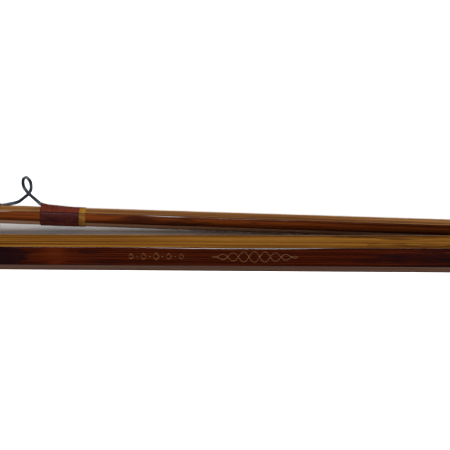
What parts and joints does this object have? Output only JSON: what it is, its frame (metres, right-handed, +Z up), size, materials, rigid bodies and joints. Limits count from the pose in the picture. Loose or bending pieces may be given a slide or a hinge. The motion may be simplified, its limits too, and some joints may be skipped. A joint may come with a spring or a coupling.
{
  "type": "fly rod",
  "caption": "Two-piece split-cane fly rod taken down, sections side by side, with snake guides, silk windings, cork grip and screw-locking reel seat.",
  "frame": {"origin": "bottom centre of the box round both sections as they lie on a flat surface", "axes": "+X along the butt section towards the butt cap, +Y from the butt section towards the tip section, +Z up"},
  "size_m": [1.2412, 0.0784, 0.028],
  "materials": {
    "cane": "varnished flamed split bamboo",
    "wine_thread": "varnished silk thread",
    "gold_thread": "varnished gold silk thread",
    "blued_steel": "blued spring steel wire",
    "agate": "polished agate",
    "cork": "sanded cork",
    "seat_wood": "oiled walnut",
    "seal": "waxed wood disc",
    "nickel_silver": "polished nickel silver"
  },
  "bodies": {
    "butt_section": {"butt_cane_strip_1": "cane", "butt_cane_strip_2": "cane", "butt_cane_strip_3": "cane", "butt_cane_strip_4": "cane", "butt_cane_strip_5": "cane", "butt_cane_strip_6": "cane", "butt_cap": "nickel_silver", "butt_ferrule_wrap": "wine_thread", "butt_gold_bands": "gold_thread", "butt_guide_1_wraps": "wine_thread", "butt_guide_2_wraps": "wine_thread", "butt_snake_guide_1": "blued_steel", "butt_snake_guide_2": "blued_steel", "cork_grip_rings": "cork", "female_ferrule": "nickel_silver", "ferrule_welt": "nickel_silver", "keeper_saddle": "blued_steel", "keeper_wraps": "wine_thread", "reel_seat_spacer": "seat_wood", "seat_collar": "nickel_silver", "stripping_guide_frame": "blued_steel", "stripping_guide_ring": "agate", "stripping_guide_wraps": "wine_thread", "threaded_barrel": "nickel_silver", "water_stop": "seal", "winding_check": "nickel_silver"},
    "tip_section": {"male_ferrule": "nickel_silver", "tip_cane_strip_1": "cane", "tip_cane_strip_2": "cane", "tip_cane_strip_3": "cane", "tip_cane_strip_4": "cane", "tip_cane_strip_5": "cane", "tip_cane_strip_6": "cane", "tip_ferrule_wrap": "wine_thread", "tip_gold_bands": "gold_thread", "tip_guide_1_wraps": "wine_thread", "tip_guide_2_wraps": "wine_thread", "tip_guide_3_wraps": "wine_thread", "tip_guide_4_wraps": "wine_thread", "tip_guide_5_wraps": "wine_thread", "tip_guide_6_wraps": "wine_thread", "tip_guide_7_wraps": "wine_thread", "tip_snake_guide_1": "blued_steel", "tip_snake_guide_2": "blued_steel", "tip_snake_guide_3": "blued_steel", "tip_snake_guide_4": "blued_steel", "tip_snake_guide_5": "blued_steel", "tip_snake_guide_6": "blued_steel", "tip_snake_guide_7": "blued_steel", "tip_top_ring": "blued_steel", "tip_top_tube": "blued_steel", "tip_top_wrap": "wine_thread"},
    "reel_clamp": {"sliding_hood": "nickel_silver"},
    "clamp_nut": {"lock_nut": "nickel_silver"},
    "hook_ring": {"keeper_ring": "blued_steel"}
  },
  "joints": [
    {"name": "tip_section_slide", "type": "slide", "parent": "butt_section", "child": "tip_section", "axis": [0, 1, 0], "range_m": [0, 0.15]},
    {"name": "hood_slide", "type": "slide", "parent": "butt_section", "child": "reel_clamp", "axis": [1, 0, 0.0093], "range_m": [0, 0.01]},
    {"name": "lock_nut_turn", "type": "hinge", "parent": "reel_clamp", "child": "clamp_nut", "pos_m": [0.53303, -0.02619, 0.01376], "axis": [1, 0, 0.0093], "range_deg": [0, 3590]},
    {"name": "keeper_ring_swing", "type": "hinge", "parent": "butt_section", "child": "hook_ring", "pos_m": [0.3325, -0.02199, 0.01523], "axis": [0.0073, 0.6225, -0.7826], "range_deg": [0, 180]}
  ],
  "couplings": [
    {"joint": "hood_slide", "follows": "lock_nut_turn", "m_per_rad": 0.00015915}
  ]
}
